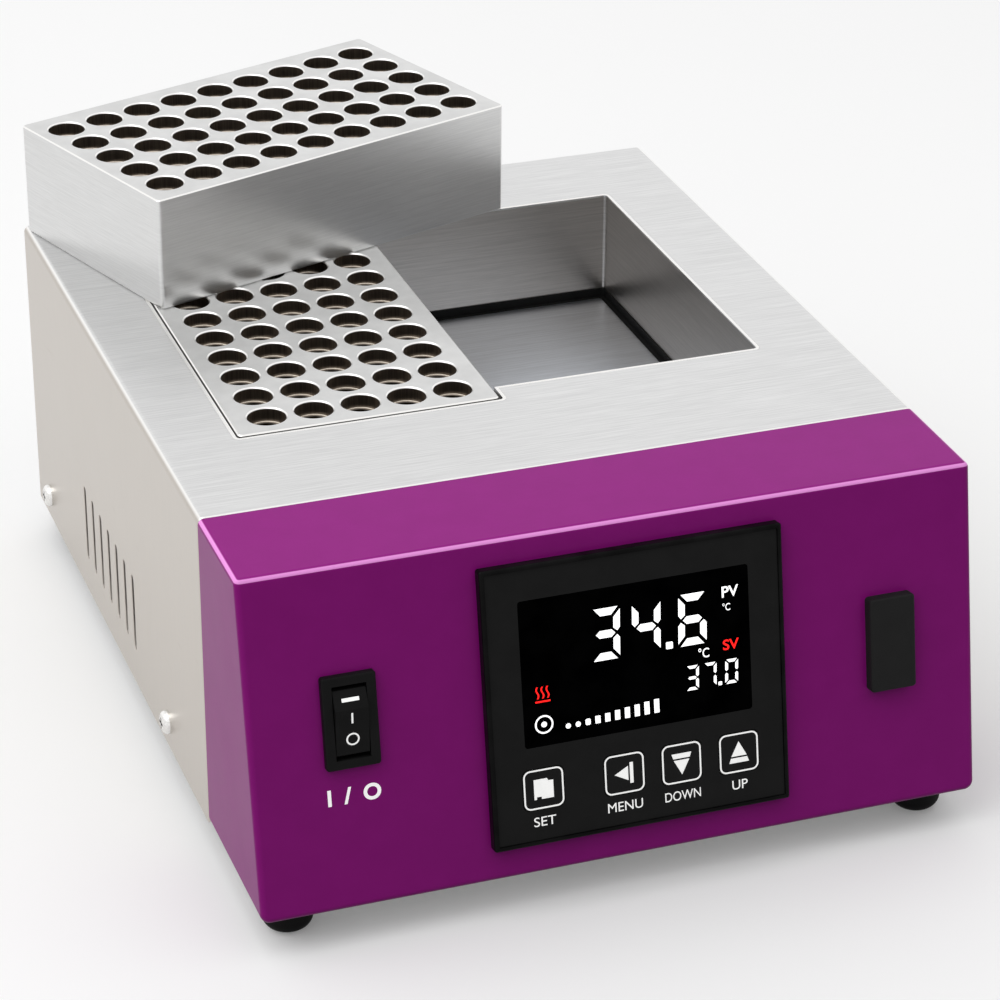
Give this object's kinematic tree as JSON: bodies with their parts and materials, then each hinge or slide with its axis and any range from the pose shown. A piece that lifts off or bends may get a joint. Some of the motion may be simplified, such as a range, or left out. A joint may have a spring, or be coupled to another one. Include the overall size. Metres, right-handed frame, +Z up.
{
  "type": "dry bath incubator",
  "caption": "Bench dry bath with a leaning purple control front, a folded steel housing and lift-out aluminium tube blocks over a heated well.",
  "frame": {"origin": "on the table, under the middle of the bounding box of everything that is modelled", "axes": "+X to the object's right seen from the front, +Y to the back, +Z up"},
  "size_m": [0.2404, 0.3398, 0.159],
  "materials": {
    "housing_steel": "stainless sheet, brushed along its length",
    "liner_steel": "stainless sheet with a bright ground rim",
    "tray_steel": "zinc-plated sheet",
    "purple_plastic": "glossy purple moulding",
    "plate_aluminium": "brushed plate",
    "block_aluminium": "satin anodised, with turned wells",
    "gloss_black": "glossy black moulding",
    "face_black": "fine textured black membrane",
    "display_glass": "black window with lit digits behind it",
    "key_grey": "satin dark grey key",
    "blank_black": "matte black moulding",
    "black_plastic": "black moulding",
    "black_rubber": "moulded black rubber",
    "mat_rubber": "orange silicone heater mat",
    "insulation_wool": "pressed mineral wool",
    "board_green": "green circuit board",
    "relay_plastic": "light grey moulding",
    "screw_steel": "zinc-plated",
    "screw_chrome": "nickel-plated, bright",
    "brass_metal": "brass",
    "fuse_glass": "glass tube with metal caps",
    "wire_black": "black insulation",
    "wire_red": "red silicone insulation",
    "wire_white": "white insulation"
  },
  "bodies": {
    "root": {"base_tray": "tray_steel", "housing_cover": "housing_steel", "rear_panel": "housing_steel", "front_bezel": "purple_plastic", "well_liner": "liner_steel", "well_gasket": "black_rubber", "heating_plate": "plate_aluminium", "heater_mat": "mat_rubber", "insulation": "insulation_wool", "support_rails": "tray_steel", "support_posts": "screw_steel", "post_screws": "screw_steel", "temperature_probe": "screw_steel", "thermal_cutout": "black_plastic", "cutout_screws": "screw_steel", "controller_frame": "gloss_black", "controller_face": "face_black", "display_window": "display_glass", "controller_case": "black_plastic", "display_board": "board_green", "power_board": "board_green", "controller_terminals": "black_plastic", "controller_clamps": "black_plastic", "switch_body": "gloss_black", "switch_tabs": "brass_metal", "blank_plug": "blank_black", "foot_front_left": "black_rubber", "foot_front_right": "black_rubber", "foot_rear_left": "black_rubber", "foot_rear_right": "black_rubber", "foot_screws": "screw_steel", "side_screws": "screw_chrome", "rear_panel_screws": "screw_chrome", "bezel_screws": "screw_steel", "mains_inlet": "black_plastic", "inlet_pins": "brass_metal", "inlet_screws": "screw_chrome", "earth_stud": "brass_metal", "earth_nut": "brass_metal", "solid_state_relay": "relay_plastic", "relay_screws": "screw_steel", "terminal_strip": "black_plastic", "strip_screws": "screw_steel", "mains_wiring": "wire_black", "heater_wiring": "wire_red", "probe_lead": "wire_white"},
    "tube_block_seated": {"tube_block_seated": "block_aluminium"},
    "tube_block_lifted": {"tube_block_lifted": "block_aluminium"},
    "switch_rocker": {"switch_rocker": "gloss_black"},
    "key_set": {"key_set": "key_grey"},
    "key_menu": {"key_menu": "key_grey"},
    "key_down": {"key_down": "key_grey"},
    "key_up": {"key_up": "key_grey"},
    "fuse_drawer": {"fuse_drawer": "black_plastic", "fuse": "fuse_glass"}
  },
  "joints": [
    {"name": "seated_block_lift", "type": "slide", "parent": "root", "child": "tube_block_seated", "axis": [0, 0, 1], "range_m": [0, 0.06]},
    {"name": "lifted_block_lift", "type": "slide", "parent": "tube_block_seated", "child": "tube_block_lifted", "axis": [0, 0, 1], "range_m": [0, 0.06]},
    {"name": "power_rocker", "type": "hinge", "parent": "root", "child": "switch_rocker", "pos_m": [-0.0862, -0.15465, 0.07152], "axis": [1, 0, 0], "range_deg": [-16, 0]},
    {"name": "key_set_press", "type": "slide", "parent": "root", "child": "key_set", "axis": [0, 0.9842, -0.1771], "range_m": [0, 0.0005], "stiffness_N_per_m": 400},
    {"name": "key_menu_press", "type": "slide", "parent": "root", "child": "key_menu", "axis": [0, 0.9842, -0.1771], "range_m": [0, 0.0005], "stiffness_N_per_m": 400},
    {"name": "key_down_press", "type": "slide", "parent": "root", "child": "key_down", "axis": [0, 0.9842, -0.1771], "range_m": [0, 0.0005], "stiffness_N_per_m": 400},
    {"name": "key_up_press", "type": "slide", "parent": "root", "child": "key_up", "axis": [0, 0.9842, -0.1771], "range_m": [0, 0.0005], "stiffness_N_per_m": 400},
    {"name": "fuse_drawer_slide", "type": "slide", "parent": "root", "child": "fuse_drawer", "axis": [0, 1, 0], "range_m": [0, 0.022]}
  ]
}
